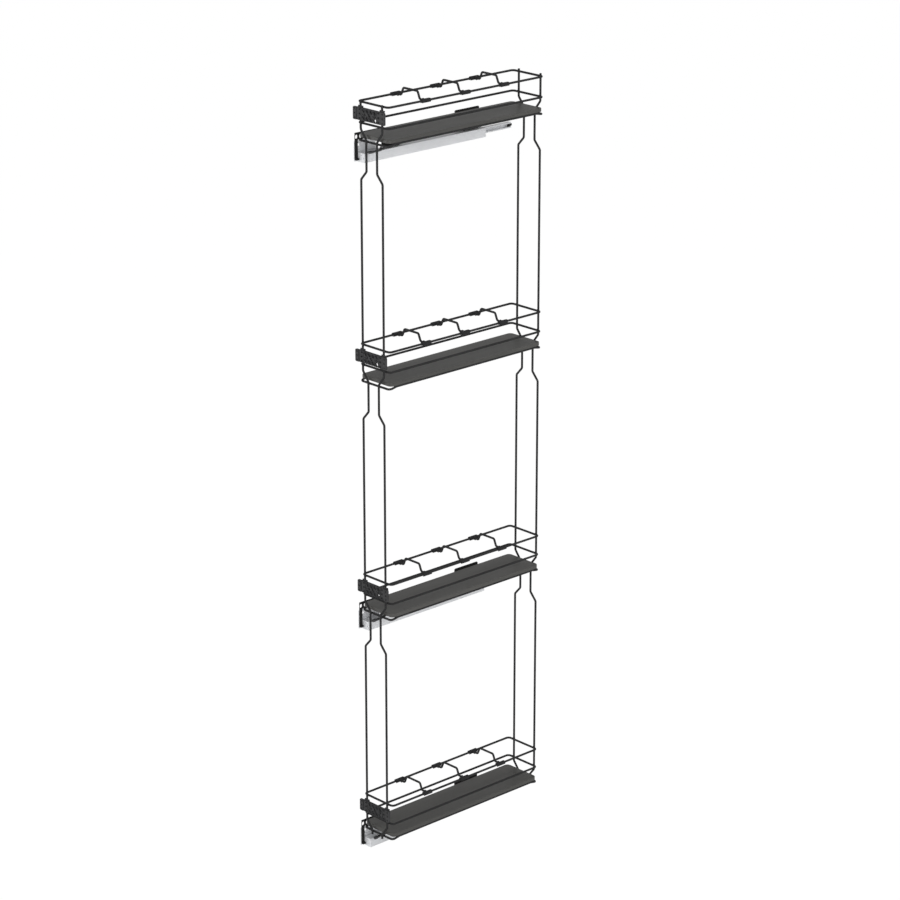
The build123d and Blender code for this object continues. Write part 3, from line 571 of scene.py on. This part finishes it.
def basket_welds(tier):
    """Beads where the wires of one basket cross, and ground welds where its guard rails butt."""
    chance = random.Random(tier)
    shape = bmesh.new()
    frame_low, frame_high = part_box(f"base_frame_{tier}")
    side_z = frame_high.z - WIRE / 2
    for name in UPRIGHTS:
        x, y = upright_place(name)
        touch_y = y + WIRE / 2 if name.startswith("front") else y - WIRE / 2
        for z in rail_heights(tier):
            weld(shape, Vector((x, touch_y, z)), X, Z, chance)
        weld(shape, Vector((neck_x(name), touch_y, side_z - BASE_DIP)), X, Z, chance)
    for y in cross_ys:
        for x in (frame_low.x + WIRE, frame_high.x - WIRE):
            weld(shape, Vector((x, y, side_z)), Y, Z, chance)
    for x in (frame_low.x + WIRE / 2, frame_high.x - WIRE / 2):
        for z in rail_heights(tier):
            butt_weld(shape, Vector((x, middle_y, z)))
    new_piece(f"welds_{tier}", shape, "wire", "rack")


def wire_tips():
    """Rounded ends of the four uprights."""
    shape = bmesh.new()
    for name in UPRIGHTS:
        low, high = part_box(f"upright_{name}")
        x, y = upright_place(name)
        tip(shape, Vector((x, y, high.z)), Z)
        tip(shape, Vector((neck_x(name), y, low.z)), -Z)
    new_piece("wire_tips", shape, "wire", "rack")


for tier in TIERS:
    basket_welds(tier)
wire_tips()


# Relief on the door brackets: rims round the slots and holes, and slanting ribs between them

def bracket_relief(tier):
    """Ribs and rims on the recessed middle of one door bracket."""
    low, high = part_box(f"door_plate_{tier}")
    face = Vector(((low.x + high.x) / 2, low.y + BRACKET_RECESS, (low.z + high.z) / 2))
    shape = bmesh.new()
    last = (RIB_SLOT_COLUMNS - 1) / 2
    places = [((column - last) * RIB_SLOT_PITCH, side * RIB_SLOT_ROW)
              for column in range(RIB_SLOT_COLUMNS) for side in (-1, 1)]
    places.remove((last * RIB_SLOT_PITCH, -RIB_SLOT_ROW))  # the access hole is there instead
    for across, height in places + [(0.0, 0.0)]:
        rim(shape, face + X * across + Z * height, X, Z, RIB_SLOT_LENGTH, RIB_SLOT_WIDTH, RIB_SLOT_SLANT)
    for side in (-1, 1):
        for row in range(PEG_HOLE_ROWS):
            hole = face + X * side * PEG_HOLE_SPACING / 2 + Z * (row - 1) * PEG_HOLE_PITCH
            rim(shape, hole, X, Z, PEG_HOLE, PEG_HOLE)
    edge = (high.z - low.z) / 2 - RIB_WIDTH
    reach = BRACKET_BODY_WIDTH / 2 - RIB_WIDTH
    for side in (-1, 1):
        rib(shape, face - X * reach + Z * side * edge, face + X * reach + Z * side * edge, -Y)
        rib(shape, face + X * side * reach - Z * edge, face + X * side * reach + Z * edge, -Y)
        post = face + X * side * (PEG_HOLE_SPACING - PEG_HOLE_PITCH) / 2
        rib(shape, post - Z * edge, post + Z * edge, -Y)
    slope = Vector((math.cos(RIB_SLOT_SLANT), 0, math.sin(RIB_SLOT_SLANT))) * RIB_SLOT_LENGTH / 2
    for column in range(RIB_SLOT_COLUMNS - 1):
        for side in (-1, 1):
            knot = face + X * (column - last + 0.5) * RIB_SLOT_PITCH + Z * side * RIB_SLOT_ROW
            rib(shape, knot - slope, knot + slope, -Y)
    new_piece(f"bracket_relief_{tier}", shape, "bracket", "rack")


for tier in TIERS:
    bracket_relief(tier)


# Screws of the door brackets and of the carriers, with recessed heads and threads

def solid_boxes(node):
    """Lowest and highest corner of each separate solid of a node, in a fixed order."""
    shape = bmesh.new()
    shape.from_mesh(nodes[node].data)
    bmesh.ops.remove_doubles(shape, verts=shape.verts, dist=SAME_POINT)
    unseen = set(shape.verts)
    boxes = []
    while unseen:
        reached = [unseen.pop()]
        solid = []
        while reached:
            vert = reached.pop()
            solid.append(vert.co.copy())
            for edge in vert.link_edges:
                other = edge.other_vert(vert)
                if other in unseen:
                    unseen.remove(other)
                    reached.append(other)
        boxes.append([Vector([pick(axis) for axis in zip(*solid)]) for pick in (min, max)])
    shape.free()
    return sorted(boxes, key=lambda corners: tuple(corners[0]))


def bracket_screws():
    """Screws between the door plates and their bases, with their heads towards the door."""
    shape = bmesh.new()
    for low, high in solid_boxes("bracket_screws"):
        seat = Vector(((low.x + high.x) / 2, low.y + BRACKET_SCREW_HEAD_HEIGHT, (low.z + high.z) / 2))
        screw(shape, seat, Y, BRACKET_SCREW, BRACKET_SCREW_HEAD, BRACKET_SCREW_HEAD_HEIGHT,
              high.y - seat.y)
    piece = new_piece("bracket_screws_turned", shape, "screw", "rack")
    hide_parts("bracket_screws")


def carrier_screws():
    """Screws of the carriers: long ones upwards into the shelves, short ones down into the rails."""
    shape = bmesh.new()
    for low, high in solid_boxes("carrier_screws"):
        upwards = high.z - low.z > 2 * CARRIER_SCREW_HEAD
        x, y = (low.x + high.x) / 2, (low.y + high.y) / 2
        z = low.z + CARRIER_SCREW_HEAD_HEIGHT if upwards else high.z - CARRIER_SCREW_HEAD_HEIGHT
        screw(shape, Vector((x, y, z)), Z if upwards else -Z, CARRIER_SCREW, CARRIER_SCREW_HEAD,
              CARRIER_SCREW_HEAD_HEIGHT, high.z - low.z - CARRIER_SCREW_HEAD_HEIGHT, segments=32)
    piece = new_piece("carrier_screws_turned", shape, "screw", "rack")
    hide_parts("carrier_screws")


bracket_screws()
carrier_screws()


# Details of the dividers: a collar at the mouth of each socket, and grip ribs on the clips

def divider_details(tier, letter):
    """Collars and grip ribs of one divider."""
    node = f"divider_{tier}_{letter}"
    wire_y = middle(node).y
    rail_low, rail_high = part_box(f"guard_rails_{tier}")
    rail_z = rail_heights(tier)[0]
    crest = SOCKET_RADIUS + GRIP_RIB / 2
    collar = [(WIRE / 2, 0.0), (SOCKET_RADIUS, 0.0), (crest, GRIP_RIB / 3), (crest, GRIP_RIB),
              (SOCKET_RADIUS, 1.5 * GRIP_RIB), (WIRE / 2, 1.5 * GRIP_RIB)]
    shape = bmesh.new()
    for rail_x, inwards in ((rail_low.x + WIRE / 2, 1), (rail_high.x - WIRE / 2, -1)):
        mouth = Vector((rail_x + inwards * (SOCKET_REACH - GRIP_RIB), wire_y, rail_z))
        turned(shape, mouth, X * inwards, collar, segments=32)
        for index in range(GRIP_RIBS):
            step = (index + 0.5) / GRIP_RIBS - 0.5
            top = Vector((rail_x, wire_y + step * (CLIP_LENGTH - 2 * GRIP_MARGIN), rail_z + CLIP_HALF))
            rib(shape, top - X * CLIP_HALF / 2, top + X * CLIP_HALF / 2, Z, GRIP_RIB, GRIP_RIB / 2)
    new_piece(f"divider_details_{tier}_{letter}", shape, "divider", node)


for tier in TIERS:
    for letter in DIVIDERS:
        divider_details(tier, letter)


# Details of the runners and their levers

def tab_rims(tier):
    """Rims pressed round the two upper screw holes of a wall tab."""
    runner_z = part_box(f"drawer_rail_{tier}")[0].z + DRAWER_RAIL_HEIGHT / 2
    shape = bmesh.new()
    for side in (-1, 1):
        hole_y = -SCREW_SPACING / 2 + side * TAB_SCREW_PITCH / 2
        hole = Vector((TAB_STEEL, hole_y, runner_z + TAB_SCREW_HEIGHT))
        rim(shape, hole, Y, Z, SCREW_HOLE, SCREW_HOLE, height=PRESSED, wall=PRESSED_WIDTH)
    new_piece(f"tab_rims_{tier}", shape, "runner", "cabinet_side")


def lever_rivet(tier):
    """Riveted head of the pin that a release lever swings on."""
    rail_low, rail_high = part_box(f"drawer_rail_{tier}")
    lever_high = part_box(f"release_lever_{tier}")[1]
    pin = Vector(((rail_low.x + rail_high.x) / 2, lever_high.y - LEVER_EYE, rail_high.z))
    profile = [(PIVOT_HEAD / 2 * radius, RIVET_CROWN * height) for radius, height in RIVET_OUTLINE]
    shape = bmesh.new()
    turned(shape, pin, Z, profile)
    new_piece(f"lever_rivet_{tier}", shape, "runner", "rack")


def lever_ridges(tier):
    """Ridges for the finger on a release lever's pad."""
    low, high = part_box(f"release_lever_{tier}")
    pad = Vector((high.x - LEVER_PAD[0] / 2, low.y + LEVER_PAD[1] / 2, high.z))
    reach = X * (LEVER_PAD[0] / 2 - RIB_WIDTH)
    shape = bmesh.new()
    for index in range(PAD_RIDGES):
        ridge = pad + Y * (index - (PAD_RIDGES - 1) / 2) * PAD_RIDGE_PITCH
        rib(shape, ridge - reach, ridge + reach, Z, RIB_WIDTH, RIB_WIDTH / 2)
    new_piece(f"lever_ridges_{tier}", shape, "lever", f"release_lever_{tier}")


for tier in RUNNER_TIERS:
    tab_rims(tier)
    lever_rivet(tier)
    lever_ridges(tier)


# Floor, light and camera

def plain_white(name):
    """Pale surface that the camera sees as white, darkened only by shadow."""
    material = bpy.data.materials.new(name)
    tree = empty_tree(material)
    output = tree.nodes.new("ShaderNodeOutputMaterial")
    diffuse = tree.nodes.new("ShaderNodeBsdfDiffuse")
    diffuse.inputs["Color"].default_value = FLOOR_GREY
    glow = tree.nodes.new("ShaderNodeEmission")
    glow.inputs["Strength"].default_value = FLOOR_GLOW
    both = tree.nodes.new("ShaderNodeMixShader")
    both.inputs["Fac"].default_value = FLOOR_GLOW_SHARE
    tree.links.new(diffuse.outputs["BSDF"], both.inputs[1])
    tree.links.new(glow.outputs["Emission"], both.inputs[2])
    ray = tree.nodes.new("ShaderNodeLightPath")
    choice = tree.nodes.new("ShaderNodeMixShader")
    tree.links.new(ray.outputs["Is Camera Ray"], choice.inputs["Fac"])
    tree.links.new(diffuse.outputs["BSDF"], choice.inputs[1])
    tree.links.new(both.outputs["Shader"], choice.inputs[2])
    tree.links.new(choice.outputs["Shader"], output.inputs["Surface"])
    return material


def make_floor():
    """Large pale disc under the rack."""
    low, high = cad_box
    mesh = bpy.data.meshes.new("floor")
    shape = bmesh.new()
    bmesh.ops.create_circle(shape, cap_ends=True, segments=FLOOR_SEGMENTS, radius=FLOOR_RADIUS)
    shape.to_mesh(mesh)
    shape.free()
    floor = bpy.data.objects.new("floor", mesh)
    floor.location = ((low.x + high.x) / 2, (low.y + high.y) / 2, low.z - FLOOR_DROP)
    mesh.materials.append(plain_white("floor_white"))
    bpy.context.scene.collection.objects.link(floor)


def make_world():
    """Soft white surroundings, white to the camera and dimmer as light."""
    world = bpy.data.worlds.new("studio")
    bpy.context.scene.world = world
    tree = empty_tree(world)
    output = tree.nodes.new("ShaderNodeOutputWorld")
    ray = tree.nodes.new("ShaderNodeLightPath")
    dim = tree.nodes.new("ShaderNodeBackground")
    dim.inputs["Color"].default_value = WHITE
    dim.inputs["Strength"].default_value = WORLD_LIGHT
    white = tree.nodes.new("ShaderNodeBackground")
    white.inputs["Color"].default_value = WHITE
    choice = tree.nodes.new("ShaderNodeMixShader")
    tree.links.new(ray.outputs["Is Camera Ray"], choice.inputs["Fac"])
    tree.links.new(dim.outputs["Background"], choice.inputs[1])
    tree.links.new(white.outputs["Background"], choice.inputs[2])
    tree.links.new(choice.outputs["Shader"], output.inputs["Surface"])


def aimed(name, data, place):
    """Light or camera at a place, turned to the middle of the rack."""
    thing = bpy.data.objects.new(name, data)
    thing.location = place
    thing.rotation_mode = "QUATERNION"
    thing.rotation_quaternion = (Vector(CAMERA_TARGET) - Vector(place)).to_track_quat("-Z", "Y")
    bpy.context.scene.collection.objects.link(thing)
    return thing


def softbox(name, place, size, power):
    """Square soft light."""
    light = bpy.data.lights.new(name, "AREA")
    light.size = size
    light.energy = power
    aimed(name, light, place)


def make_camera():
    """Camera at the photograph's place."""
    data = bpy.data.cameras.new("camera")
    data.sensor_width = SENSOR
    data.lens = CAMERA_LENS
    bpy.context.scene.camera = aimed("camera", data, CAMERA_PLACE)


make_floor()
make_world()
for name, (place, size, power) in SOFTBOXES.items():
    softbox(name, place, size, power)
make_camera()
bpy.context.scene.view_settings.view_transform = "Standard"
